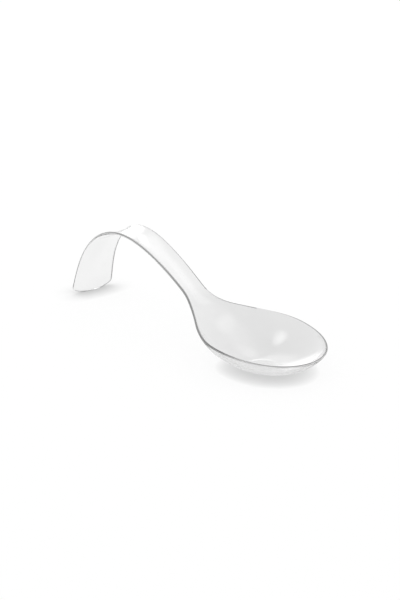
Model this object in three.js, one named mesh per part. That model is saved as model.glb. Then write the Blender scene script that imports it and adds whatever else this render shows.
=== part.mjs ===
// A dessert spoon with an arched handle, moulded in one thin piece of clear plastic.
// It stands by itself, on the flattened underside of its bowl and on the end of its tail.
// Millimetres, +Z up, +X towards the tip of the bowl, +Y across.
// The origin is on the table, under the middle of the spoon's box.

import * as THREE from 'three';

// Driving dimensions: the bowl. Lengths along the spoon follow its middle line, level with its edges.
const BOWL_WIDTH = 40.7;
const BOWL_DEPTH = 10.9;
const BOWL_WALL = 0.8;
const TIP_TO_WIDEST = 26.8;
const WIDEST_TO_NECK = 37.7;
const TIP_FLAT = 2;
const RIM_TILT_DEG = 5;
const FOOT_FLATTENING = 0.4;

// Driving dimensions: the neck, which bends upwards out of the bowl
const NECK_WIDTH = 9.3;
const NECK_BEND_LEAD = 14.6;
const NECK_BEND_LENGTH = 12.7;
const NECK_BEND_DEG = 25.4;

// Driving dimensions: the handle, a long gentle sweep with a tighter arch in it
const HANDLE_WALL = 0.9;
const HANDLE_HOLLOW = 0.9;
const SWEEP_LEAD = 4.9;
const SWEEP_LENGTH = 96.9;
const SWEEP_DEG = 58;
const NECK_TO_ARCH = 24.4;
const ARCH_LENGTH = 51.3;
const ARCH_DEG = 52.5;

// Driving dimensions: the tail, which runs down until it stands on the table.
// Its end is a shallow arc with small round corners, and the table cuts the arc level.
const TAIL_WIDTH = 18.4;
const TAIL_END_RADIUS = 22.5;
const TAIL_END_FLAT = 8;
const TAIL_CORNER_RADIUS = 1.6;

// Exponents of the curves: 2 is an ellipse for the tip's outline, and 0.5 is one for the section
const TIP_ROUNDNESS = 2.08;
const SECTION_FULLNESS = 0.75;
const BOWL_KEEL_RISE = 1.5;
const SHOULDER_FULLNESS = 1.09;
const HANDLE_FLARE = 1.47;

// How finely the surfaces are divided
const COLUMNS = 18;
const TIP_ROWS = 12;
const CORNER_ROWS = 3;
const END_ROWS = 3;
const ROW_LENGTH = 2.5;
const SPINE_STEP = 0.2;

// Places along the middle line, from the tip
const WIDEST = TIP_TO_WIDEST;
const NECK = WIDEST + WIDEST_TO_NECK;
const NECK_BEND = NECK - NECK_BEND_LEAD;
const SWEEP = NECK - SWEEP_LEAD;
const ARCH = NECK + NECK_TO_ARCH;
const CROWN = ARCH + ARCH_LENGTH / 2;

const { clamp, degToRad, lerp, smoothstep } = THREE.MathUtils;

// The middle line's angle above level, on the way from the tip to the tail
function slopeAt(s) {
  const degrees = RIM_TILT_DEG
    + NECK_BEND_DEG * smoothstep(s, NECK_BEND, NECK_BEND + NECK_BEND_LENGTH)
    - SWEEP_DEG * smoothstep(s, SWEEP, SWEEP + SWEEP_LENGTH)
    - ARCH_DEG * smoothstep(s, ARCH, ARCH + ARCH_LENGTH);
  return degToRad(degrees);
}

// The middle line's place, with the tip at 0, 0
function spineAt(s) {
  const steps = Math.max(1, Math.ceil(s / SPINE_STEP));
  const step = s / steps;
  const place = { x: 0, z: 0 };
  for (let k = 0; k < steps; k += 1) {
    const slope = slopeAt((k + 0.5) * step);
    place.x -= Math.cos(slope) * step;
    place.z += Math.sin(slope) * step;
  }
  return place;
}

// Half the width from the tip to the neck: a rounded front, then a shoulder that runs into the neck
function bowlHalfWidth(s) {
  if (s < WIDEST) {
    const toTip = 1 - s / WIDEST;
    return (BOWL_WIDTH / 2) * (1 - toTip ** TIP_ROUNDNESS) ** (1 / TIP_ROUNDNESS);
  }
  const toNeck = clamp((s - WIDEST) / WIDEST_TO_NECK, 0, 1);
  return lerp(BOWL_WIDTH / 2, NECK_WIDTH / 2, smoothstep(toNeck ** SHOULDER_FULLNESS, 0, 1));
}

// The bowl's share of a section: all at the widest place, none at the neck
function bowlShare(s) {
  return smoothstep(NECK - s, 0, WIDEST_TO_NECK);
}

// How far the bowl's floor lies below its rim
function bowlBow(s) {
  return BOWL_DEPTH * (bowlHalfWidth(s) / (BOWL_WIDTH / 2)) ** BOWL_KEEL_RISE;
}

// The table is under the flattened floor of the bowl
function findTable() {
  let lowest = Infinity;
  for (let s = 0; s < NECK; s += SPINE_STEP) {
    lowest = Math.min(lowest, spineAt(s).z - Math.cos(slopeAt(s)) * bowlBow(s) * bowlShare(s));
  }
  return lowest - BOWL_WALL / 2 + FOOT_FLATTENING;
}

const TABLE = findTable();

// How high the floor of the handle's hollow is above the table
function hollowHeight(s) {
  return spineAt(s).z - Math.cos(slopeAt(s)) * HANDLE_HOLLOW - TABLE;
}

// The tail ends where the floor of its hollow meets the table
function findTailEnd() {
  let s = CROWN;
  while (hollowHeight(s) > 0) {
    s += SPINE_STEP;
  }
  return s - hollowHeight(s) / Math.sin(slopeAt(s));
}

const TAIL_END = findTailEnd();

// How far the arc of the tail's end falls back from its crest, a given way out from the middle
function arcDepth(reach) {
  return TAIL_END_RADIUS - Math.sqrt(TAIL_END_RADIUS ** 2 - reach ** 2);
}

// The crest of the arc is just past the table, so that the table leaves its flat
const CREST = TAIL_END + arcDepth(TAIL_END_FLAT / 2);

// The centre of a corner's rounding, and where it runs into the arc, measured out and back from the crest
const CORNER_REACH = TAIL_WIDTH / 2 - TAIL_CORNER_RADIUS;
const CORNER_LEG = TAIL_END_RADIUS - TAIL_CORNER_RADIUS;
const CORNER_DEPTH = TAIL_END_RADIUS - Math.sqrt(CORNER_LEG ** 2 - CORNER_REACH ** 2);
const MEETING_REACH = (CORNER_REACH * TAIL_END_RADIUS) / CORNER_LEG;
const MEETING_DEPTH = arcDepth(MEETING_REACH);
const CORNER = CREST - CORNER_DEPTH;

// The part of the handle's full width that the rounded end leaves
function endShare(s) {
  const depth = CREST - s;
  if (depth < MEETING_DEPTH) {
    return Math.sqrt(TAIL_END_RADIUS ** 2 - (TAIL_END_RADIUS - depth) ** 2) / (TAIL_WIDTH / 2);
  }
  const past = Math.max(CORNER_DEPTH - depth, 0);
  return (CORNER_REACH + Math.sqrt(TAIL_CORNER_RADIUS ** 2 - past ** 2)) / (TAIL_WIDTH / 2);
}

// Half the width of the handle and tail, before the end is rounded
function handleHalfWidth(s) {
  const toTail = clamp((s - NECK) / (TAIL_END - NECK), 0, 1);
  return lerp(NECK_WIDTH / 2, TAIL_WIDTH / 2, toTail ** HANDLE_FLARE);
}

// One cross-section: its place and slope, half width, bow of its arc, sink of its edges, and wall
function stationAt(s) {
  const left = endShare(s);
  const share = bowlShare(s);
  const handleBow = HANDLE_HOLLOW * left ** 2;
  return {
    ...spineAt(s),
    slope: slopeAt(s),
    halfWidth: s < NECK ? bowlHalfWidth(s) : handleHalfWidth(s) * left,
    bow: lerp(handleBow, bowlBow(s), share),
    sink: HANDLE_HOLLOW - handleBow,
    wall: lerp(HANDLE_WALL, BOWL_WALL, share),
  };
}

// A point of the middle surface, across from -1 at one edge to 1 at the other
function sectionPoint(station, across) {
  const drop = station.sink + station.bow * (1 - across ** 2) ** SECTION_FULLNESS;
  return new THREE.Vector3(
    station.x - Math.sin(station.slope) * drop,
    station.halfWidth * across,
    station.z - Math.cos(station.slope) * drop,
  );
}

// Even steps from one place to the next, without the last place
function evenRows(from, to) {
  const count = Math.max(2, Math.round((to - from) / ROW_LENGTH));
  return Array.from({ length: count }, (_, k) => lerp(from, to, k / count));
}

// Rows that crowd towards the tip, where the outline turns fastest
function tipRows() {
  const first = Math.asin((TIP_FLAT / BOWL_WIDTH) ** (TIP_ROUNDNESS / 2));
  return Array.from({ length: TIP_ROWS }, (_, k) => {
    const turn = lerp(first, Math.PI / 2, k / TIP_ROWS);
    return WIDEST * (1 - Math.cos(turn) ** (2 / TIP_ROUNDNESS));
  });
}

// Rows that follow the rounding of the tail's corners and the arc between them, with the end itself
function endRows() {
  const last = Math.asin((CORNER_DEPTH - MEETING_DEPTH) / TAIL_CORNER_RADIUS);
  const corner = Array.from({ length: CORNER_ROWS }, (_, k) => {
    const turn = (last * k) / CORNER_ROWS;
    return CORNER + TAIL_CORNER_RADIUS * Math.sin(turn);
  });
  const arc = Array.from({ length: END_ROWS + 1 }, (_, k) => {
    const reach = lerp(MEETING_REACH, TAIL_END_FLAT / 2, k / END_ROWS);
    return CREST - arcDepth(reach);
  });
  return [...corner, ...arc];
}

// The rows of each named stretch. A stretch ends on the row that the next one starts with.
const STRETCHES = [
  { name: 'bowl', rows: [...tipRows(), ...evenRows(WIDEST, NECK_BEND)] },
  { name: 'neck', rows: evenRows(NECK_BEND, NECK) },
  { name: 'handle', rows: evenRows(NECK, CROWN) },
  { name: 'tail', rows: [...evenRows(CROWN, CORNER), ...endRows()] },
];

// The middle surface of the whole spoon, a grid of rows and columns
const STATIONS = STRETCHES.flatMap((stretch) => stretch.rows).map(stationAt);
const ACROSS = Array.from({ length: COLUMNS + 1 }, (_, k) => {
  const turn = (Math.PI / 2) * ((2 * k) / COLUMNS - 1);
  return Math.sin(turn);
});
const MIDDLE = STATIONS.map((station) => ACROSS.map((across) => sectionPoint(station, across)));

// The middle surface's upward normal at one grid point, from its neighbours
function normalAt(row, column) {
  const lastRow = MIDDLE.length - 1;
  const ahead = MIDDLE[Math.min(row + 1, lastRow)][column];
  const behind = MIDDLE[Math.max(row - 1, 0)][column];
  const right = MIDDLE[row][Math.min(column + 1, COLUMNS)];
  const left = MIDDLE[row][Math.max(column - 1, 0)];
  const along = new THREE.Vector3().subVectors(ahead, behind);
  return new THREE.Vector3().subVectors(right, left).cross(along).normalize();
}

// One face of the wall: half the wall above or below the middle surface
function wallFace(side) {
  return MIDDLE.map((points, row) => points.map((point, column) => {
    const offset = (side * STATIONS[row].wall) / 2;
    return point.clone().addScaledVector(normalAt(row, column), offset);
  }));
}

// Press the bowl's floor flat, so that it stands, with its wall as thick as before
function flattenFloor(face, level) {
  const bowlRows = STRETCHES[0].rows.length;
  face.slice(0, bowlRows).flat().forEach((point) => {
    point.z = Math.max(point.z, level);
  });
}

// Cut the tail's last row back to the table, along the tail
function trimTail(face) {
  const last = face[face.length - 1];
  const previous = face[face.length - 2];
  last.forEach((point, column) => {
    const start = previous[column];
    point.lerpVectors(start, point.clone(), (start.z - TABLE) / (start.z - point.z));
  });
}

const UPPER = wallFace(1);
const LOWER = wallFace(-1);
flattenFloor(UPPER, TABLE + BOWL_WALL);
flattenFloor(LOWER, TABLE);
trimTail(UPPER);
trimTail(LOWER);

// Move the origin to the table, under the middle of the spoon's box
const BOX = new THREE.Box3().setFromPoints([...UPPER.flat(), ...LOWER.flat()]);
const ORIGIN = BOX.getCenter(new THREE.Vector3()).setZ(TABLE);
[...UPPER.flat(), ...LOWER.flat()].forEach((point) => point.sub(ORIGIN));

// A closed solid between two faces of the wall, from the first to the last of the rows given
function wallSolid(first, last) {
  const upper = UPPER.slice(first, last + 1);
  const lower = LOWER.slice(first, last + 1);
  const points = [...upper.flat(), ...lower.flat()];
  const width = COLUMNS + 1;
  const rows = last - first;
  const top = (row, column) => row * width + column;
  const under = (row, column) => (rows + 1) * width + top(row, column);
  const index = [];
  const quad = (a, b, c, d) => index.push(a, b, c, a, c, d);
  for (let row = 0; row < rows; row += 1) {
    for (let column = 0; column < COLUMNS; column += 1) {
      quad(top(row, column), top(row, column + 1), top(row + 1, column + 1), top(row + 1, column));
      quad(under(row, column), under(row + 1, column), under(row + 1, column + 1), under(row, column + 1));
    }
    quad(top(row, 0), top(row + 1, 0), under(row + 1, 0), under(row, 0));
    quad(top(row, COLUMNS), under(row, COLUMNS), under(row + 1, COLUMNS), top(row + 1, COLUMNS));
  }
  for (let column = 0; column < COLUMNS; column += 1) {
    quad(top(0, column), under(0, column), under(0, column + 1), top(0, column + 1));
    quad(top(rows, column), top(rows, column + 1), under(rows, column + 1), under(rows, column));
  }
  const geometry = new THREE.BufferGeometry().setFromPoints(points);
  geometry.setIndex(index);
  geometry.computeVertexNormals();
  return geometry;
}

// Crystal-clear, glossy plastic
function clearPlastic() {
  return new THREE.MeshStandardMaterial({
    color: 0xf1f3f4,
    roughness: 0.08,
    metalness: 0,
    transparent: true,
    opacity: 0.35,
  });
}

const spoon = new THREE.Group();
let firstRow = 0;
STRETCHES.forEach((stretch) => {
  const lastRow = Math.min(firstRow + stretch.rows.length, STATIONS.length - 1);
  const mesh = new THREE.Mesh(wallSolid(firstRow, lastRow), clearPlastic());
  mesh.name = stretch.name;
  spoon.add(mesh);
  firstRow = lastRow;
});

export default spoon;
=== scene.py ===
"""Dresses the arched dessert spoon in clear moulded plastic, with painted shade along its edges, on a
white studio floor with painted shadows.

The CAD holds the spoon as stretches of one wall. Here it is modelled again as one seamless sheet, laid
out row by row from the tip of the bowl to the end of the tail, given its wall, rounded along every edge
and trimmed to the table.
"""

import logging
import math
from dataclasses import dataclass
from enum import Enum
from functools import cached_property

import bmesh
import bpy
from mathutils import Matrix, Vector


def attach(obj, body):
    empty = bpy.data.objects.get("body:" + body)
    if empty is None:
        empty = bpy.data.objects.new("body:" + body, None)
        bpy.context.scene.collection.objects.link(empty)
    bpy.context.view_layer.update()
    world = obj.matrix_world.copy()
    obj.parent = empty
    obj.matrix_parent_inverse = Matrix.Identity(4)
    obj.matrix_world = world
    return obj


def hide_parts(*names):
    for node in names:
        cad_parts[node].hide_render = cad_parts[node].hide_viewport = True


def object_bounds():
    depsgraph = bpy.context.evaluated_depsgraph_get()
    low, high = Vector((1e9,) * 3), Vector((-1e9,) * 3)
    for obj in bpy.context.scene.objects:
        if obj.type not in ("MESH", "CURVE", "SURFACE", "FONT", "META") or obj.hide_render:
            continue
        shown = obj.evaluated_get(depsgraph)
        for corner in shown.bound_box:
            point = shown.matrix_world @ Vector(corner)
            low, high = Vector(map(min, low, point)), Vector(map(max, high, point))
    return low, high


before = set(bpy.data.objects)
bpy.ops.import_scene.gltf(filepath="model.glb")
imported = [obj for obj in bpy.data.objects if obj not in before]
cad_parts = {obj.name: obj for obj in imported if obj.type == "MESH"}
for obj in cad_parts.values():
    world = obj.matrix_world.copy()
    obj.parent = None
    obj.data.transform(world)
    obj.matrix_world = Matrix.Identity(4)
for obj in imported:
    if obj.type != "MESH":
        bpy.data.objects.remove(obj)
CAD_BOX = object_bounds()

MM = 0.001
ROOT_BODY = "root"

# Where shade is painted onto the edges, near the neck, along the far side and at the tail, in
# millimetres:
# where each soft mask starts and where it is full
NECK_COMES_UP = (-25.0, 25.0)
NECK_GOES_DOWN = (49.0, 39.0)
NECK_NEAR_SIDE = (14.0, 2.0)
FAR_SIDE_FROM = (4.0, 20.0)
FAR_SIDE_ALONG = (-52.0, -42.0)
FAR_HANDLE_FROM = (0.0, 4.0)
FAR_HANDLE_ALONG = (-26.0, -4.0)
FAR_HANDLE_TO = (22.0, 4.0)
TAIL_SHADE_MIDDLE = (-62.0, -15.0, 4.0)
TAIL_REACH = (22.0, 7.0)

# The mould's streaks: repeats per metre, finer layers and the stretch of the noise that shows
FLOW_REPEATS = (18.0, 90.0, 60.0)
FLOW_LAYERS = 2.0
FLOW_SPREAD = (0.3, 0.7)

# The marks of handling, in the same way
MARK_REPEATS = (140.0, 140.0, 140.0)
MARK_LAYERS = 4.0
MARK_SPREAD = (0.45, 0.75)

# The Mix node's sockets by number, because several of them share a name
MIX_FACTOR = 0
MIX_NUMBERS = (2, 3)
MIX_COLOURS = (6, 7)
MIXED_NUMBER = 0
MIXED_COLOUR = 2

# A mask from none to all, and a count of dull bounces that any ray passes with its first
FULL_RANGE = (0.0, 1.0)
FIRST_DULL_BOUNCE = 0.5

Span = tuple[float, float]
Triple = tuple[float, float, float]
Level = float | bpy.types.NodeSocket

log = logging.getLogger("spoon")


def ease(value: float) -> float:
    """Runs from 0 to 1 with a soft start and a soft end.

    Args:
        value: How far along, clipped to 0 and 1.

    Returns:
        The eased value.
    """
    t = min(max(value, 0.0), 1.0)
    return t * t * (3.0 - 2.0 * t)


def lerp(start: float, end: float, share: float) -> float:
    """Mixes two numbers: start at a share of 0, end at 1."""
    return start + (end - start) * share


class Surface(Enum):
    """The spoon's material slots: its wall, and the roundings and middle of its edges, which carry
    painted shade.
    """

    WALL = 0
    ROUNDING = 1
    EDGE = 2


class Side(Enum):
    """The spoon's two long edges, by the sign of y on their side."""

    FAR = 1.0
    NEAR = -1.0


class Axis(Enum):
    """The axes that the masks are measured along, by their names in Separate XYZ."""

    ALONG = "X"
    ACROSS = "Y"


class Join(Enum):
    """The ways to join masks, by their names in the Math node."""

    ALL = "MULTIPLY"
    ANY = "MAXIMUM"


class Ray(Enum):
    """The kinds of ray that the surround treats in their own way, by their names in Light Path."""

    CAMERA = "Is Camera Ray"
    GLOSSY = "Is Glossy Ray"
    TRANSMISSION = "Is Transmission Ray"


@dataclass(frozen=True)
class Station:
    """One cross-section of the spoon's middle surface, in millimetres and radians.

    Its place is on the middle line, level with the edges, with the tip of the bowl at 0, 0.
    """

    x: float
    z: float
    slope: float
    half_width: float
    bow: float
    wall: float


@dataclass(frozen=True)
class Row:
    """One row of the sheet, given by where its ends are: along the middle line and out from it.

    The curl says how far the row follows the rounded end of the spoon. At 0 it runs straight across, and
    at 1 it lies on the outline.
    """

    s: float
    reach: float
    curl: float = 0.0


@dataclass(frozen=True)
class SpoonShape:
    """The spoon's driving sizes in millimetres and degrees, as in the CAD, and the curves they give."""

    bowl_width: float = 40.7
    bowl_depth: float = 10.9
    bowl_wall: float = 0.8
    tip_to_widest: float = 26.8
    widest_to_neck: float = 37.7
    rim_tilt: float = 5.0
    foot_flattening: float = 0.4
    neck_width: float = 9.3
    neck_bend_lead: float = 14.6
    neck_bend_length: float = 12.7
    neck_bend: float = 25.4
    handle_wall: float = 0.9
    handle_hollow: float = 0.9
    sweep_lead: float = 4.9
    sweep_length: float = 96.9
    sweep: float = 58.0
    neck_to_arch: float = 24.4
    arch_length: float = 51.3
    arch: float = 52.5
    tail_width: float = 18.4
    tail_end_radius: float = 22.5
    tail_end_flat: float = 8.0
    tail_corner_radius: float = 1.6
    tip_roundness: float = 2.08
    section_fullness: float = 0.75
    keel_rise: float = 1.5
    shoulder_fullness: float = 1.09
    handle_flare: float = 1.47
    spine_step: float = 0.2

    @property
    def neck(self) -> float:
        """The narrowest place, measured along the middle line from the tip."""
        return self.tip_to_widest + self.widest_to_neck

    def slope(self, s: float) -> float:
        """Gives the middle line's angle above level, on the way from the tip to the tail.

        Args:
            s: Length along the middle line from the tip.

        Returns:
            The angle in radians.
        """
        bend_start = self.neck - self.neck_bend_lead
        sweep_start = self.neck - self.sweep_lead
        arch_start = self.neck + self.neck_to_arch
        degrees = (
            self.rim_tilt
            + self.neck_bend * ease((s - bend_start) / self.neck_bend_length)
            - self.sweep * ease((s - sweep_start) / self.sweep_length)
            - self.arch * ease((s - arch_start) / self.arch_length)
        )
        return math.radians(degrees)

    def spine(self, s: float) -> tuple[float, float]:
        """Follows the middle line from the tip.

        Args:
            s: Length along the middle line.

        Returns:
            The place there, x and z, with the tip at 0, 0.
        """
        steps = max(1, math.ceil(s / self.spine_step))
        step = s / steps
        slopes = [self.slope((k + 0.5) * step) for k in range(steps)]
        return -step * sum(map(math.cos, slopes)), step * sum(map(math.sin, slopes))

    def bowl_half_width(self, s: float) -> float:
        """Gives half the bowl's width: a rounded front, then a shoulder that runs into the neck.

        Args:
            s: Length along the middle line from the tip.

        Returns:
            Half the width there.
        """
        if s < self.tip_to_widest:
            to_tip = 1.0 - s / self.tip_to_widest
            return self.bowl_width / 2 * (1.0 - to_tip**self.tip_roundness) ** (1.0 / self.tip_roundness)
        to_neck = min((s - self.tip_to_widest) / self.widest_to_neck, 1.0)
        return lerp(self.bowl_width, self.neck_width, ease(to_neck**self.shoulder_fullness)) / 2

    def bowl_share(self, s: float) -> float:
        """The bowl's share of a section: all at the widest place, none at the neck."""
        return ease((self.neck - s) / self.widest_to_neck)

    def bowl_bow(self, s: float) -> float:
        """How far the bowl's floor lies below its rim."""
        return self.bowl_depth * (2 * self.bowl_half_width(s) / self.bowl_width) ** self.keel_rise

    @cached_property
    def table(self) -> float:
        """Finds the table's level, under the flattened floor of the bowl.

        Returns:
            The level, measured from the tip.
        """
        steps = int(self.neck / self.spine_step)
        lowest = min(
            self.spine(s)[1] - math.cos(self.slope(s)) * self.bowl_bow(s) * self.bowl_share(s)
            for s in (k * self.spine_step for k in range(steps))
        )
        return lowest - self.bowl_wall / 2 + self.foot_flattening

    def half_width(self, s: float) -> float:
        """Gives half the spoon's width, before the tail's end is rounded.

        Args:
            s: Length along the middle line from the tip.

        Returns:
            Half the width there.
        """
        if s < self.neck:
            return self.bowl_half_width(s)
        to_tail = min((s - self.neck) / (self.tail_end - self.neck), 1.0)
        return lerp(self.neck_width, self.tail_width, to_tail**self.handle_flare) / 2

    def hollow_height(self, s: float) -> float:
        """How high the floor of the handle's hollow is above the table."""
        return self.spine(s)[1] - math.cos(self.slope(s)) * self.handle_hollow - self.table

    @cached_property
    def tail_end(self) -> float:
        """Finds where the floor of the tail's hollow meets the table.

        Returns:
            The place, measured along the middle line from the tip.
        """
        s = self.neck + self.neck_to_arch + self.arch_length / 2
        while self.hollow_height(s) > 0.0:
            s += self.spine_step
        return s - self.hollow_height(s) / math.sin(self.slope(s))

    def arc_depth(self, reach: float) -> float:
        """How far the arc of the tail's end falls back from its crest, this far out from the middle."""
        return self.tail_end_radius - math.sqrt(self.tail_end_radius**2 - reach**2)

    @cached_property
    def crest(self) -> float:
        """The crest of the end's arc, just past the table, which leaves its flat."""
        return self.tail_end + self.arc_depth(self.tail_end_flat / 2)

    @property
    def corner_reach(self) -> float:
        """How far out from the middle the centre of a corner's rounding is."""
        return self.tail_width / 2 - self.tail_corner_radius

    @property
    def corner_depth(self) -> float:
        """How far back from the crest the centre of a corner's rounding is."""
        leg = self.tail_end_radius - self.tail_corner_radius
        return self.tail_end_radius - math.sqrt(leg**2 - self.corner_reach**2)

    @property
    def meeting_reach(self) -> float:
        """How far out from the middle a corner's rounding runs into the arc."""
        leg = self.tail_end_radius - self.tail_corner_radius
        return self.corner_reach * self.tail_end_radius / leg

    def outline(self, s: float, out: float) -> float:
        """Follows the rounded front of the bowl or the rounded end of the tail.

        Args:
            s: A length along the middle line, which says at which end.
            out: How far out from the middle line.

        Returns:
            The length along the middle line at which that end's outline is so far out.
        """
        if s > self.neck:
            return self.crest - self.arc_depth(out)
        share = abs(2 * out / self.bowl_width) ** self.tip_roundness
        return self.tip_to_widest * (1.0 - (1.0 - share) ** (1.0 / self.tip_roundness))

    def station(self, s: float) -> Station:
        """Works out one cross-section.

        Args:
            s: Length along the middle line from the tip.

        Returns:
            The section's place, slope, width, bow and wall.
        """
        share = self.bowl_share(s)
        x, z = self.spine(s)
        return Station(
            x=x,
            z=z,
            slope=self.slope(s),
            half_width=self.half_width(s),
            bow=lerp(self.handle_hollow, self.bowl_bow(s), share),
            wall=lerp(self.handle_wall, self.bowl_wall, share),
        )

    def point(self, s: float, out: float) -> Vector:
        """Finds a place on the middle surface.

        Args:
            s: Length along the middle line from the tip.
            out: How far out from the middle line.

        Returns:
            The place, with the tip of the bowl at 0, 0, 0.
        """
        station = self.station(s)
        across = min(abs(out) / max(station.half_width, self.spine_step), 1.0)
        drop = station.bow * (1.0 - across**2) ** self.section_fullness
        x = station.x - drop * math.sin(station.slope)
        z = station.z - drop * math.cos(station.slope)
        return Vector((x, out, z))


@dataclass(frozen=True)
class ClearPlastic:
    """A clear moulded plastic, tinted a little by what it swallows. For the edges it is tinted grey as
    painted shade.

    The two tints are the least and the most that the plastic's flow takes out of the light. The amount
    for the mask Depth is the part of the tint taken away as painted shade near the neck, along the far
    side and at the tail, and the amount for the mask Far Depth is the part taken away as painted shade
    along the far side of the handle. The ripple's height is in millimetres.
    """

    name: str
    tint_light: Triple
    tint_deep: Triple
    polish: float
    wear: float
    ripple: float
    clarity: float = 1.0
    painted_shade: float = 0.0
    far_painted_shade: float = 0.0
    ripple_height: float = 0.02
    ior: float = 1.57

    def material(self) -> bpy.types.Material:
        """Builds the material.

        Returns:
            A material with its Principled shader and the shared effects linked to it.
        """
        made = bpy.data.materials.new(self.name)
        made.use_nodes = True
        tree = made.node_tree
        shader = tree.nodes["Principled BSDF"]
        shader.inputs["Transmission Weight"].default_value = self.clarity
        shader.inputs["IOR"].default_value = self.ior
        shader.inputs["Metallic"].default_value = 0.0

        flow = tree.nodes.new("ShaderNodeGroup")
        flow.node_tree = mould_flow_group()
        tint = tree.nodes.new("ShaderNodeMix")
        tint.data_type = "RGBA"
        for socket, colour in zip(MIX_COLOURS, (self.tint_light, self.tint_deep)):
            tint.inputs[socket].default_value = (*colour, 1.0)
        tree.links.new(flow.outputs["Flow"], tint.inputs[MIX_FACTOR])
        # Takes part of the tint away where shade is painted: near the neck, along the far side, at the
        # tail and along the far side of the handle.
        shade_masks = tree.nodes.new("ShaderNodeGroup")
        shade_masks.node_tree = painted_shade_places_group()
        shown = tint.outputs[MIXED_COLOUR]
        for mask, lost in (("Depth", self.painted_shade), ("Far Depth", self.far_painted_shade)):
            kept = remap(tree, shade_masks.outputs[mask], FULL_RANGE, (1.0, 1.0 - lost))
            shaded = tree.nodes.new("ShaderNodeVectorMath")
            shaded.operation = "SCALE"
            tree.links.new(shown, shaded.inputs[0])
            tree.links.new(kept, shaded.inputs["Scale"])
            shown = shaded.outputs["Vector"]
        tree.links.new(shown, shader.inputs["Base Color"])

        marks = tree.nodes.new("ShaderNodeGroup")
        marks.node_tree = handling_marks_group()
        rough = remap(tree, marks.outputs["Marks"], FULL_RANGE, (self.polish, self.wear))
        tree.links.new(rough, shader.inputs["Roughness"])

        bump = tree.nodes.new("ShaderNodeBump")
        bump.inputs["Strength"].default_value = self.ripple
        bump.inputs["Distance"].default_value = self.ripple_height * MM
        tree.links.new(flow.outputs["Flow"], bump.inputs["Height"])
        tree.links.new(bump.outputs["Normal"], shader.inputs["Normal"])
        return made


def remap(
    tree: bpy.types.NodeTree,
    value: bpy.types.NodeSocket,
    reach: Span,
    levels: Span,
    soft: bool = False,
) -> bpy.types.NodeSocket:
    """Adds a node that turns a stretch of values into a stretch of levels.

    Args:
        tree: The nodes of a material, a group, a lamp or the world.
        value: The value's socket.
        reach: The values at which the change starts and ends.
        levels: The levels before and after the change.
        soft: Whether the change has a soft start and a soft end.

    Returns:
        The level's socket.
    """
    change = tree.nodes.new("ShaderNodeMapRange")
    change.interpolation_type = "SMOOTHSTEP" if soft else "LINEAR"
    names = ("From Min", "From Max", "To Min", "To Max")
    for name, number in zip(names, (*reach, *levels)):
        change.inputs[name].default_value = number
    tree.links.new(value, change.inputs["Value"])
    return change.outputs["Result"]


def around(tree: bpy.types.NodeTree, place: Triple, reach: Span, levels: Span) -> bpy.types.NodeSocket:
    """Adds nodes for a level that changes softly around a place.

    Args:
        tree: The nodes of a material or a group.
        place: The place, in millimetres.
        reach: The distances from it at which the change starts and ends, in millimetres.
        levels: The levels before and after the change.

    Returns:
        The level's socket.
    """
    coordinates = tree.nodes.new("ShaderNodeTexCoord")
    apart = tree.nodes.new("ShaderNodeVectorMath")
    apart.operation = "DISTANCE"
    apart.inputs[1].default_value = Vector(place) * MM
    tree.links.new(coordinates.outputs["Object"], apart.inputs[0])
    start, end = reach
    return remap(tree, apart.outputs["Value"], (start * MM, end * MM), levels, soft=True)


def new_group(name: str, outputs: tuple[str, ...]) -> bpy.types.NodeTree:
    """Starts a shader node group with float outputs.

    Args:
        name: The group's name.
        outputs: The names of its outputs.

    Returns:
        The group, with its output node placed.
    """
    group = bpy.data.node_groups.new(name, "ShaderNodeTree")
    for output in outputs:
        group.interface.new_socket(output, in_out="OUTPUT", socket_type="NodeSocketFloat")
    group.nodes.new("NodeGroupOutput")
    return group


def stretched_noise(group: bpy.types.NodeTree, repeats: Triple, layers: float) -> bpy.types.NodeSocket:
    """Adds a noise on Object coordinates to a group.

    Args:
        group: The node group.
        repeats: How many times the noise repeats per metre along x, y and z.
        layers: How many finer layers it has.

    Returns:
        The noise's value socket.
    """
    place = group.nodes.new("ShaderNodeTexCoord")
    mapping = group.nodes.new("ShaderNodeMapping")
    mapping.inputs["Scale"].default_value = repeats
    noise = group.nodes.new("ShaderNodeTexNoise")
    noise.inputs["Scale"].default_value = 1.0
    noise.inputs["Detail"].default_value = layers
    group.links.new(place.outputs["Object"], mapping.inputs["Vector"])
    group.links.new(mapping.outputs["Vector"], noise.inputs["Vector"])
    return noise.outputs["Fac"]


def mould_flow_group() -> bpy.types.NodeTree:
    """Long soft streaks that molten plastic leaves as it runs from the handle into the bowl.

    Returns:
        The shared group, with the output Flow from 0 to 1.
    """
    name = "mould_flow"
    if name in bpy.data.node_groups:
        return bpy.data.node_groups[name]
    group = new_group(name, ("Flow",))
    streaks = stretched_noise(group, FLOW_REPEATS, FLOW_LAYERS)
    spread = remap(group, streaks, FLOW_SPREAD, FULL_RANGE)
    group.links.new(spread, group.nodes["Group Output"].inputs["Flow"])
    return group


def joined(
    group: bpy.types.NodeTree,
    way: Join,
    masks: list[bpy.types.NodeSocket],
) -> bpy.types.NodeSocket:
    """Joins masks in a group, two at a time.

    Args:
        group: The node group.
        way: The way to join them.
        masks: The masks' sockets.

    Returns:
        The joined mask's socket.
    """
    result = masks[0]
    for mask in masks[1:]:
        pair = group.nodes.new("ShaderNodeMath")
        pair.operation = way.value
        group.links.new(result, pair.inputs[0])
        group.links.new(mask, pair.inputs[1])
        result = pair.outputs["Value"]
    return result


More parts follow.
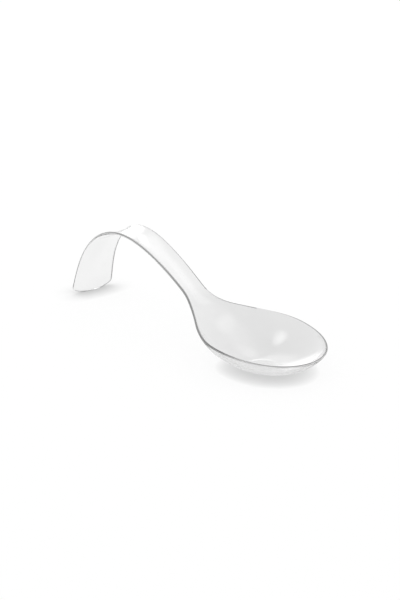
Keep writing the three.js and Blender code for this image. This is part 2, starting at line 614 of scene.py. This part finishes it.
def soft_stretch(
    group: bpy.types.NodeTree,
    axes: bpy.types.Node,
    sides: tuple[tuple[Axis, Span], ...],
) -> bpy.types.NodeSocket:
    """Adds a soft mask of a stretch of the spoon to a group.

    Args:
        group: The node group.
        axes: The node that gives the place along each axis.
        sides: Each side's axis, with the places in millimetres at which the mask starts and is full.

    Returns:
        The mask's socket, from 0 to 1.
    """
    masks = []
    for axis, (start, full) in sides:
        place = axes.outputs[axis.value]
        masks.append(remap(group, place, (start * MM, full * MM), FULL_RANGE, soft=True))
    return joined(group, Join.ALL, masks)


def painted_shade_places_group() -> bpy.types.NodeTree:
    """Soft masks of where shade is painted onto the edges: the neck, the spoon's far side and the tail's
    near side.

    Returns:
        The shared group, with the outputs Depth and Far Depth from 0 to 1, which say how much shade is
        painted.
        The second is for the far side of the handle alone.
    """
    name = "deep_places"
    if name in bpy.data.node_groups:
        return bpy.data.node_groups[name]
    group = new_group(name, ("Depth", "Far Depth"))
    place = group.nodes.new("ShaderNodeTexCoord")
    axes = group.nodes.new("ShaderNodeSeparateXYZ")
    group.links.new(place.outputs["Object"], axes.inputs["Vector"])
    neck_sides = (
        (Axis.ALONG, NECK_COMES_UP),
        (Axis.ALONG, NECK_GOES_DOWN),
        (Axis.ACROSS, NECK_NEAR_SIDE),
    )
    far_sides = (
        (Axis.ACROSS, FAR_SIDE_FROM),
        (Axis.ALONG, FAR_SIDE_ALONG),
    )
    handle_sides = (
        (Axis.ACROSS, FAR_HANDLE_FROM),
        (Axis.ALONG, FAR_HANDLE_ALONG),
        (Axis.ALONG, FAR_HANDLE_TO),
    )
    tail = around(group, TAIL_SHADE_MIDDLE, TAIL_REACH, FULL_RANGE)
    neck = soft_stretch(group, axes, neck_sides)
    far = soft_stretch(group, axes, far_sides)
    results = group.nodes["Group Output"].inputs
    group.links.new(joined(group, Join.ANY, [tail, neck, far]), results["Depth"])
    group.links.new(soft_stretch(group, axes, handle_sides), results["Far Depth"])
    return group


def handling_marks_group() -> bpy.types.NodeTree:
    """Faint patches where the polish is duller from packing and handling.

    Returns:
        The shared group, with the output Marks from 0 to 1.
    """
    name = "handling_marks"
    if name in bpy.data.node_groups:
        return bpy.data.node_groups[name]
    group = new_group(name, ("Marks",))
    patches = stretched_noise(group, MARK_REPEATS, MARK_LAYERS)
    spread = remap(group, patches, MARK_SPREAD, FULL_RANGE)
    group.links.new(spread, group.nodes["Group Output"].inputs["Marks"])
    return group


@dataclass
class Spoon:
    """The one-piece spoon: its sheet, its wall, its rounded edges and its finish, with painted shade
    along the edges.

    The bands say, column by column, from where to where along the middle line the roundings' painted
    shade reaches onto the wall beside an edge. Lengths are in millimetres.
    """

    shape: SpoonShape
    finishes_and_painted_shade: dict[Surface, ClearPlastic]
    columns: int = 24
    tip_reach: float = 8.0
    tip_rows: int = 12
    curled_rows: int = 9
    curl_fall: float = 3.0
    corner_rows: int = 4
    row_length: float = 2.0
    sheet_levels: int = 2
    weld: float = 0.0001
    edge_rounding: float = 0.2
    far_painted_shade_bands: tuple[Span, ...] = ((44.0, 108.0), (63.0, 98.0))
    near_painted_shade_bands: tuple[Span, ...] = ((125.0, 141.0),)
    name: str = "spoon"

    def rows(self) -> list[Row]:
        """Lists the rows of the sheet, crowded where the outline turns fastest.

        Returns:
            The rows from the tip of the bowl to the end of the tail.
        """
        shape = self.shape
        rows = []
        first = math.asin((2 * self.tip_reach / shape.bowl_width) ** (shape.tip_roundness / 2))
        for k in range(self.tip_rows):
            turn = lerp(first, math.pi / 2, k / self.tip_rows)
            s = shape.tip_to_widest * (1.0 - math.cos(turn) ** (2 / shape.tip_roundness))
            curl = max(1.0 - k / self.curled_rows, 0.0) ** self.curl_fall
            rows.append(Row(s, shape.half_width(s), curl))
        corner = shape.crest - shape.corner_depth
        for start, end in ((shape.tip_to_widest, shape.neck), (shape.neck, corner)):
            count = round((end - start) / self.row_length)
            places = [lerp(start, end, k / count) for k in range(count)]
            rows += [Row(s, shape.half_width(s)) for s in places]
        rise = shape.corner_depth - shape.arc_depth(shape.meeting_reach)
        last = math.asin(rise / shape.tail_corner_radius)
        for k in range(self.corner_rows + 1):
            turn = last * k / self.corner_rows
            s = corner + shape.tail_corner_radius * math.sin(turn)
            reach = shape.corner_reach + shape.tail_corner_radius * math.cos(turn)
            left = reach / (shape.tail_width / 2)
            rows.append(Row(s, shape.half_width(s) * left, k / self.corner_rows))
        return rows

    def build(self) -> bpy.types.Object:
        """Models the spoon.

        Returns:
            The finished object, at the origin, with its place in its mesh.
        """
        rows = self.rows()
        spoon = self._lay_sheet(rows)
        self._press_floor(spoon)
        self._thicken(spoon, rows)
        self._round_edges(spoon)
        self._paint_edge_shade(spoon, Side.FAR, self.far_painted_shade_bands)
        self._paint_edge_shade(spoon, Side.NEAR, self.near_painted_shade_bands)
        self._smooth(spoon)
        self._trim_tail(spoon)
        self._centre(spoon)
        return spoon

    def _lay_sheet(self, rows: list[Row]) -> bpy.types.Object:
        """Bows a flat grid across its width, then sets its rows in their places.

        Args:
            rows: The rows of the grid.

        Returns:
            The middle surface of the spoon as an open sheet.
        """
        last = len(rows) - 1
        bpy.ops.object.select_all(action="DESELECT")
        bpy.ops.mesh.primitive_grid_add(x_subdivisions=last, y_subdivisions=self.columns, size=2.0)
        sheet = bpy.context.object
        sheet.name = self.name
        sheet.data.name = self.name
        bpy.ops.object.mode_set(mode="EDIT")
        mesh = bmesh.from_edit_mesh(sheet.data)
        across: dict[int, dict[float, bmesh.types.BMVert]] = {}
        along: dict[float, list[bmesh.types.BMVert]] = {}
        for vert in mesh.verts:
            flat = 2 * round((vert.co.y + 1) / 2 * self.columns) / self.columns - 1
            across.setdefault(round((vert.co.x + 1) / 2 * last), {})[flat] = vert
            along.setdefault(flat, []).append(vert)
        for flat, verts in along.items():
            out = math.sin(math.pi / 2 * flat)
            bow = max(1 - out**2, 0.0) ** self.shape.section_fullness
            self._select(sheet, verts)
            bpy.ops.transform.translate(value=(0.0, out - flat, -bow))
        for number, row in enumerate(rows):
            if row.curl > 0.0:
                self._curl_row(sheet, across[number], row)
            else:
                self._select(sheet, list(across[number].values()))
                self._place_row(2 * number / last - 1, self.shape.station(row.s))
        bpy.ops.object.mode_set(mode="OBJECT")
        return sheet

    @staticmethod
    def _select(piece: bpy.types.Object, verts: list[bmesh.types.BMVert]) -> None:
        """Selects only these vertices of a piece in edit mode.

        Args:
            piece: The piece that is being edited.
            verts: The vertices to select.
        """
        bpy.ops.mesh.select_all(action="DESELECT")
        for vert in verts:
            vert.select = True
        bmesh.from_edit_mesh(piece.data).select_flush_mode()
        bmesh.update_edit_mesh(piece.data)

    def _place_row(self, start: float, station: Station) -> None:
        """Sizes, tilts and moves the selected row to its station.

        Args:
            start: Where the row lies on the flat grid, along x.
            station: The cross-section that the row becomes.
        """
        centre = (start, 0.0, 0.0)
        size = (1.0, station.half_width * MM, station.bow * MM)
        bpy.ops.transform.resize(value=size, center_override=centre)
        bpy.ops.transform.rotate(value=-station.slope, orient_axis="Y", center_override=centre)
        level = station.z - self.shape.table
        bpy.ops.transform.translate(value=(station.x * MM - start, 0.0, level * MM))

    def _curl_row(
        self,
        sheet: bpy.types.Object,
        verts: dict[float, bmesh.types.BMVert],
        row: Row,
    ) -> None:
        """Moves a row's vertices one by one, so that they lie evenly along the rounded outline.

        Args:
            sheet: The open sheet.
            verts: The row's vertices, by their place across the flat grid.
            row: The row that they become.
        """
        shape = self.shape
        for flat, vert in verts.items():
            out = row.reach * lerp(math.sin(math.pi / 2 * flat), flat, row.curl)
            s = row.s + row.curl * (shape.outline(row.s, out) - shape.outline(row.s, row.reach))
            place = (shape.point(s, out) - Vector((0.0, 0.0, shape.table))) * MM
            self._select(sheet, [vert])
            bpy.ops.transform.translate(value=place - vert.co)

    def _press_floor(self, sheet: bpy.types.Object) -> None:
        """Presses the lowest part of the bowl's floor flat, so that the spoon stands.

        Args:
            sheet: The open sheet.
        """
        level = self.shape.bowl_wall / 2 * MM
        bowl_end = self.shape.spine(self.shape.neck)[0] * MM
        bpy.ops.object.mode_set(mode="EDIT")
        mesh = bmesh.from_edit_mesh(sheet.data)
        self._select(sheet, [v for v in mesh.verts if v.co.z < level and v.co.x > bowl_end])
        bpy.ops.transform.resize(value=(1.0, 1.0, 0.0), center_override=(0.0, 0.0, level))
        bpy.ops.object.mode_set(mode="OBJECT")

    def _thicken(self, sheet: bpy.types.Object, rows: list[Row]) -> None:
        """Gives the sheet its wall, with the faces along its edges in their own slot.

        Args:
            sheet: The open sheet.
            rows: The rows of the sheet, which each have one wall.
        """
        for surface in Surface:
            sheet.data.materials.append(self.finishes_and_painted_shade[surface].material())
        walls = [self.shape.station(row.s).wall for row in rows]
        thickest = max(walls)
        group = sheet.vertex_groups.new(name="wall")
        for vert in sheet.data.vertices:
            group.add([vert.index], walls[vert.index % len(walls)] / thickest, "REPLACE")
        wall = sheet.modifiers.new("wall", "SOLIDIFY")
        wall.thickness = thickest * MM
        wall.offset = 0.0
        wall.use_even_offset = True
        wall.vertex_group = group.name
        # The rim faces take the rounding slot, which carries painted shade.
        wall.material_offset_rim = Surface.ROUNDING.value
        bpy.ops.object.modifier_apply(modifier=wall.name)

    def _round_edges(self, spoon: bpy.types.Object) -> None:
        """Frames the faces along the edges, so that smoothing rounds the corners and keeps the middle.

        Args:
            spoon: The spoon with its wall.
        """
        bpy.ops.object.mode_set(mode="EDIT")
        bpy.ops.mesh.select_all(action="DESELECT")
        mesh = bmesh.from_edit_mesh(spoon.data)
        for face in mesh.faces:
            face.select = face.material_index == Surface.ROUNDING.value
        mesh.select_flush_mode()
        bmesh.update_edit_mesh(spoon.data)
        bpy.ops.mesh.inset(thickness=self.edge_rounding * MM)
        mesh = bmesh.from_edit_mesh(spoon.data)
        # The middle of each edge takes the edge slot, which carries a painted dark line.
        for face in mesh.faces:
            if face.select:
                face.material_index = Surface.EDGE.value
        bmesh.update_edit_mesh(spoon.data)
        bpy.ops.object.mode_set(mode="OBJECT")

    def _paint_edge_shade(self, spoon: bpy.types.Object, side: Side, bands: tuple[Span, ...]) -> None:
        """Carries the roundings' painted shade a little way onto the wall beside an edge, as a grey line.

        Args:
            spoon: The spoon with its framed edges.
            side: The edge.
            bands: For each column, where the painted shade starts and ends along the middle line.
        """
        bpy.ops.object.mode_set(mode="EDIT")
        mesh = bmesh.from_edit_mesh(spoon.data)
        framed = [face for face in mesh.faces if face.material_index != Surface.WALL.value]
        column = [face for face in framed if face.calc_center_median().y * side.value > 0.0]
        for band in bands:
            front, back = (self.shape.spine(s)[0] * MM for s in band)
            beside = [other for face in column for edge in face.edges for other in edge.link_faces]
            column = []
            for face in beside:
                inside = back < face.calc_center_median().x < front
                if inside and face.material_index == Surface.WALL.value:
                    face.material_index = Surface.ROUNDING.value
                    column.append(face)
        bmesh.update_edit_mesh(spoon.data)
        bpy.ops.object.mode_set(mode="OBJECT")

    def _smooth(self, spoon: bpy.types.Object) -> None:
        """Turns the coarse spoon into a smooth one.

        Args:
            spoon: The spoon with its wall and edges.
        """
        smooth = spoon.modifiers.new("smooth", "SUBSURF")
        smooth.levels = self.sheet_levels
        smooth.render_levels = self.sheet_levels
        bpy.ops.object.modifier_apply(modifier=smooth.name)
        bpy.ops.object.shade_smooth()

    def _trim_tail(self, spoon: bpy.types.Object) -> None:
        """Cuts the end of the tail level with the table and closes it.

        Args:
            spoon: The spoon with its wall.
        """
        bpy.ops.object.mode_set(mode="EDIT")
        mesh = bmesh.from_edit_mesh(spoon.data)
        behind = self.shape.spine(self.shape.neck)[0] * MM
        self._select(spoon, [v for v in mesh.verts if v.co.x < behind])
        bpy.ops.mesh.bisect(
            plane_co=(0.0, 0.0, 0.0),
            plane_no=(0.0, 0.0, 1.0),
            threshold=self.weld * MM,
            clear_inner=True,
            use_fill=True,
        )
        bpy.ops.mesh.select_all(action="SELECT")
        bpy.ops.mesh.normals_make_consistent(inside=False)
        bpy.ops.object.mode_set(mode="OBJECT")

    def _centre(self, spoon: bpy.types.Object) -> None:
        """Sets the spoon's box over the CAD's box along x.

        Args:
            spoon: The finished spoon.
        """
        reach = [v.co.x for v in spoon.data.vertices]
        middle = (min(reach) + max(reach)) / 2
        target = (CAD_BOX[0].x + CAD_BOX[1].x) / 2
        bpy.ops.object.mode_set(mode="EDIT")
        bpy.ops.mesh.select_all(action="SELECT")
        bpy.ops.transform.translate(value=(target - middle, 0.0, 0.0))
        bpy.ops.object.mode_set(mode="OBJECT")


@dataclass(frozen=True)
class Softbox:
    """A studio lamp that fades towards its edges.

    Its angles are in degrees as the camera sees them, up from level and right of straight ahead. Its
    lengths are in metres and its power is in watts.
    """

    name: str
    rise: float
    right: float
    distance: float
    size: Span
    power: float


@dataclass
class PhotoCamera:
    """The camera at the photograph's viewing angle, for a frame of 400 by 600 pixels.

    Angles are in degrees and lengths in metres, apart from the sensor's millimetres.
    """

    azimuth: float = 50.939
    elevation: float = 20.656
    distance: float = 0.8955
    aim: Triple = (0.002797, 0.0, 0.014451)
    focal_pixels: float = 2500.0
    frame_height: float = 600.0
    sensor: float = 36.0

    @staticmethod
    def _heading(turn: float, rise: float) -> Vector:
        """Turns two angles into a direction.

        Args:
            turn: Degrees round from the front.
            rise: Degrees above level.

        Returns:
            The unit direction.
        """
        round_angle = math.radians(turn)
        up_angle = math.radians(rise)
        level = math.cos(up_angle)
        x = math.sin(round_angle) * level
        y = -math.cos(round_angle) * level
        return Vector((x, y, math.sin(up_angle)))

    def back(self) -> Vector:
        """The direction from the spoon towards the camera."""
        return self._heading(self.azimuth, self.elevation)

    def direction(self, rise: float, right: float) -> Vector:
        """Turns two angles, as the camera sees them, into a direction from the spoon.

        Args:
            rise: Degrees above level.
            right: Degrees to the right of straight ahead.

        Returns:
            The unit direction.
        """
        straight_ahead = self.azimuth - 180.0
        return self._heading(straight_ahead - right, rise)

    def build(self) -> bpy.types.Object:
        """Places the camera and makes it the scene's.

        Returns:
            The camera object.
        """
        data = bpy.data.cameras.new("photo_camera")
        data.sensor_width = self.sensor
        data.lens = self.focal_pixels / self.frame_height * self.sensor
        camera = bpy.data.objects.new("photo_camera", data)
        bpy.context.scene.collection.objects.link(camera)
        camera.location = Vector(self.aim) + self.back() * self.distance
        camera.rotation_euler = (-self.back()).to_track_quat("-Z", "Y").to_euler()
        bpy.context.scene.camera = camera
        return camera


@dataclass
class Studio:
    """A white floor with painted contact shadows and a painted shadow under the bowl, a white surround
    and soft lamps.

    The floor's size is in metres, and other lengths are in millimetres. In reflections the surround is
    dimmer towards one side, which is given by its two angles as the camera sees them.
    """

    camera: PhotoCamera
    lamps: tuple[Softbox, ...]
    floor_colour: Triple = (0.95, 0.95, 0.95)
    floor_size: float = 12.0
    floor_drop: float = 0.05
    floor_clean: float = 0.9
    mirror_clean: float = 0.9
    through_clean: float = 0.9
    contact_reach: float = 5.0
    contact_shade: float = 0.4
    tail_place: Triple = (-62.0, 0.0, 0.0)
    tail_reach: Span = (18.0, 30.0)
    tail_contact_reach: float = 9.0
    tail_contact_shade: float = 0.75
    through_level: float = 0.924
    bowl_painted_shadow_level: float = 0.819
    bowl_shade_place: Triple = (18.0, 8.0, 0.0)
    bowl_shade_reach: Span = (40.0, 65.0)
    ambient: float = 1.0
    dim_side: Span = (60.0, -120.0)
    dim_reach: Span = (0.1, 0.9)
    dim_level: float = 0.3
    lamp_middle: Triple = (0.5, 0.5, 0.0)
    lamp_fade: Span = (0.5, 0.1)

    def build(self) -> None:
        """Lays the floor, lights the world and hangs the lamps."""
        self._lay_floor()
        self._light_world()
        for lamp in self.lamps:
            self._hang(lamp)
        bpy.context.scene.view_settings.view_transform = "Standard"

    @staticmethod
    def _for_ray(
        tree: bpy.types.NodeTree,
        ray: Ray,
        level: Level,
        otherwise: Level,
    ) -> bpy.types.NodeSocket:
        """Adds nodes that pick a level for one kind of ray that hasn't met a dull surface yet.

        Args:
            tree: A material's or the world's nodes.
            ray: The kind of ray.
            level: What that kind of ray gets, a number or a socket.
            otherwise: What other rays get, a number or a socket.

        Returns:
            The picked level's socket.
        """
        path = tree.nodes.new("ShaderNodeLightPath")
        fresh = tree.nodes.new("ShaderNodeMath")
        fresh.operation = "LESS_THAN"
        fresh.inputs[1].default_value = FIRST_DULL_BOUNCE
        tree.links.new(path.outputs["Diffuse Depth"], fresh.inputs[0])
        both = tree.nodes.new("ShaderNodeMath")
        both.operation = "MULTIPLY"
        tree.links.new(path.outputs[ray.value], both.inputs[0])
        tree.links.new(fresh.outputs["Value"], both.inputs[1])
        pick = tree.nodes.new("ShaderNodeMix")
        tree.links.new(both.outputs["Value"], pick.inputs[MIX_FACTOR])
        for socket, value in zip(MIX_NUMBERS, (otherwise, level)):
            if isinstance(value, float):
                pick.inputs[socket].default_value = value
            else:
                tree.links.new(value, pick.inputs[socket])
        return pick.outputs[MIXED_NUMBER]

    def _lay_floor(self) -> None:
        """Lays the floor just under the spoon."""
        bpy.ops.object.select_all(action="DESELECT")
        place = (0.0, 0.0, -self.floor_drop * MM)
        bpy.ops.mesh.primitive_plane_add(size=self.floor_size, location=place)
        floor = bpy.context.object
        floor.name = "studio_floor"
        floor.data.materials.append(self._white_floor())

    def _white_floor(self) -> bpy.types.Material:
        """Builds the floor's finish, which shows white but keeps part of the spoon's shadow. It also has
        a painted contact shadow around the bowl and the tail, and a painted shadow under the bowl that
        shows only through the plastic.

        Returns:
            The floor's material.
        """
        made = bpy.data.materials.new("white_floor")
        made.use_nodes = True
        tree = made.node_tree
        shader = tree.nodes["Principled BSDF"]
        shader.inputs["Base Color"].default_value = (*self.floor_colour, 1.0)
        shader.inputs["Roughness"].default_value = 1.0
        shader.inputs["Specular IOR Level"].default_value = 0.0
        glow = tree.nodes.new("ShaderNodeEmission")
        # Painted contact shadow: for camera rays the floor is darkened by ambient occlusion near the
        # spoon, more near the tail.
        near = tree.nodes.new("ShaderNodeAmbientOcclusion")
        reaches = (self.tail_contact_reach * MM, self.contact_reach * MM)
        reach = around(tree, self.tail_place, self.tail_reach, reaches)
        tree.links.new(reach, near.inputs["Distance"])
        shades = (1.0 - self.tail_contact_shade, 1.0 - self.contact_shade)
        darkest = around(tree, self.tail_place, self.tail_reach, shades)
        shade = tree.nodes.new("ShaderNodeMapRange")
        tree.links.new(darkest, shade.inputs["To Min"])
        tree.links.new(near.outputs["AO"], shade.inputs["Value"])
        # Painted shadow under the bowl: rays through the plastic see the floor greyer there than
        # elsewhere.
        through = (self.bowl_painted_shadow_level, self.through_level)
        painted_bowl_shadow = around(tree, self.bowl_shade_place, self.bowl_shade_reach, through)
        shown = self._for_ray(tree, Ray.TRANSMISSION, painted_bowl_shadow, 1.0)
        shown = self._for_ray(tree, Ray.CAMERA, shade.outputs["Result"], shown)
        tree.links.new(shown, glow.inputs["Strength"])
        clean = self._for_ray(tree, Ray.GLOSSY, self.mirror_clean, 0.0)
        clean = self._for_ray(tree, Ray.TRANSMISSION, self.through_clean, clean)
        clean = self._for_ray(tree, Ray.CAMERA, self.floor_clean, clean)
        mix = tree.nodes.new("ShaderNodeMixShader")
        tree.links.new(clean, mix.inputs["Fac"])
        tree.links.new(shader.outputs["BSDF"], mix.inputs[1])
        tree.links.new(glow.outputs["Emission"], mix.inputs[2])
        tree.links.new(mix.outputs["Shader"], tree.nodes["Material Output"].inputs["Surface"])
        return made

    def _light_world(self) -> None:
        """Gives the world its soft light, and shows it white."""
        world = bpy.data.worlds.new("white_surround")
        bpy.context.scene.world = world
        world.use_nodes = True
        tree = world.node_tree
        place = tree.nodes.new("ShaderNodeTexCoord")
        side = tree.nodes.new("ShaderNodeVectorMath")
        side.operation = "DOT_PRODUCT"
        side.inputs[1].default_value = self.camera.direction(*self.dim_side)
        tree.links.new(place.outputs["Generated"], side.inputs[0])
        mirrored = remap(tree, side.outputs["Value"], self.dim_reach, (1.0, self.dim_level), soft=True)
        level = self._for_ray(tree, Ray.GLOSSY, mirrored, self.ambient)
        level = self._for_ray(tree, Ray.TRANSMISSION, 1.0, level)
        level = self._for_ray(tree, Ray.CAMERA, 1.0, level)
        background = tree.nodes["Background"]
        background.inputs["Color"].default_value = (1.0, 1.0, 1.0, 1.0)
        tree.links.new(level, background.inputs["Strength"])

    def _hang(self, lamp: Softbox) -> None:
        """Hangs one lamp, turned towards the spoon.

        Args:
            lamp: The lamp's place, size and power.
        """
        data = bpy.data.lights.new(lamp.name, "AREA")
        data.shape = "RECTANGLE"
        data.size, data.size_y = lamp.size
        data.energy = lamp.power
        self._soften(data)
        made = bpy.data.objects.new(lamp.name, data)
        bpy.context.scene.collection.objects.link(made)
        away = self.camera.direction(lamp.rise, lamp.right)
        made.location = Vector(self.camera.aim) + away * lamp.distance
        made.rotation_euler = (-away).to_track_quat("-Z", "Y").to_euler()
        made.visible_camera = False

    def _soften(self, data: bpy.types.AreaLight) -> None:
        """Fades a lamp from its middle to its edge, as a softbox does.

        Args:
            data: The lamp.
        """
        data.use_nodes = True
        tree = data.node_tree
        place = tree.nodes.new("ShaderNodeNewGeometry")
        centred = tree.nodes.new("ShaderNodeVectorMath")
        centred.operation = "SUBTRACT"
        centred.inputs[1].default_value = self.lamp_middle
        reach = tree.nodes.new("ShaderNodeVectorMath")
        reach.operation = "LENGTH"
        tree.links.new(place.outputs["Parametric"], centred.inputs[0])
        tree.links.new(centred.outputs["Vector"], reach.inputs[0])
        fade = remap(tree, reach.outputs["Value"], self.lamp_fade, FULL_RANGE, soft=True)
        tree.links.new(fade, tree.nodes["Emission"].inputs["Strength"])


CLEAR_WALL = ClearPlastic(
    name="clear_wall",
    tint_light=(0.97, 0.97, 0.97),
    tint_deep=(0.93, 0.93, 0.93),
    polish=0.02,
    wear=0.06,
    ripple=0.05,
)

# The roundings are grey and nearly opaque: painted shade standing for the grey line along a clear edge,
# darker near the neck, along the far side and at the tail.
ROUNDING_PAINTED_SHADE = ClearPlastic(
    name="rounding_painted_shade",
    tint_light=(0.87, 0.87, 0.87),
    tint_deep=(0.82, 0.82, 0.82),
    polish=0.2,
    wear=0.35,
    ripple=0.05,
    clarity=0.2,
    painted_shade=0.5,
    far_painted_shade=0.65,
)

# The edges' middle is dark grey: a painted dark line standing for the shade along a clear edge, darker
# near the neck, along the far side and at the tail.
EDGE_PAINTED_SHADE = ClearPlastic(
    name="edge_painted_shade",
    tint_light=(0.42, 0.42, 0.42),
    tint_deep=(0.38, 0.38, 0.38),
    polish=0.3,
    wear=0.5,
    ripple=0.05,
    clarity=0.3,
    painted_shade=0.52,
    far_painted_shade=0.4,
)

LAMPS = (
    Softbox("low_softbox", rise=13.0, right=-11.0, distance=0.8, size=(0.55, 0.65), power=1.9),
    Softbox("rim_softbox", rise=31.5, right=6.0, distance=0.8, size=(0.25, 0.25), power=0.26),
    Softbox("arch_softbox", rise=43.6, right=0.0, distance=0.124, size=(0.08, 0.08), power=0.0105),
    Softbox("side_softbox", rise=54.0, right=39.0, distance=0.47, size=(0.27, 0.27), power=0.115),
    Softbox("top_softbox", rise=72.0, right=-78.0, distance=0.7, size=(0.42, 0.42), power=0.8),
)


def main() -> None:
    """Builds the camera, the studio and the spoon, and reports the spoon's faces."""
    logging.basicConfig(level=logging.INFO, format="%(name)s: %(message)s")
    camera = PhotoCamera()
    camera.build()
    Studio(camera=camera, lamps=LAMPS).build()
    finishes_and_painted_shade = {Surface.WALL: CLEAR_WALL, Surface.ROUNDING: ROUNDING_PAINTED_SHADE, Surface.EDGE: EDGE_PAINTED_SHADE}
    spoon = Spoon(shape=SpoonShape(), finishes_and_painted_shade=finishes_and_painted_shade).build()
    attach(spoon, ROOT_BODY)
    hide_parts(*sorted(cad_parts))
    log.info("%s: %d faces", spoon.name, len(spoon.data.polygons))


if __name__ == "__main__":
    main()
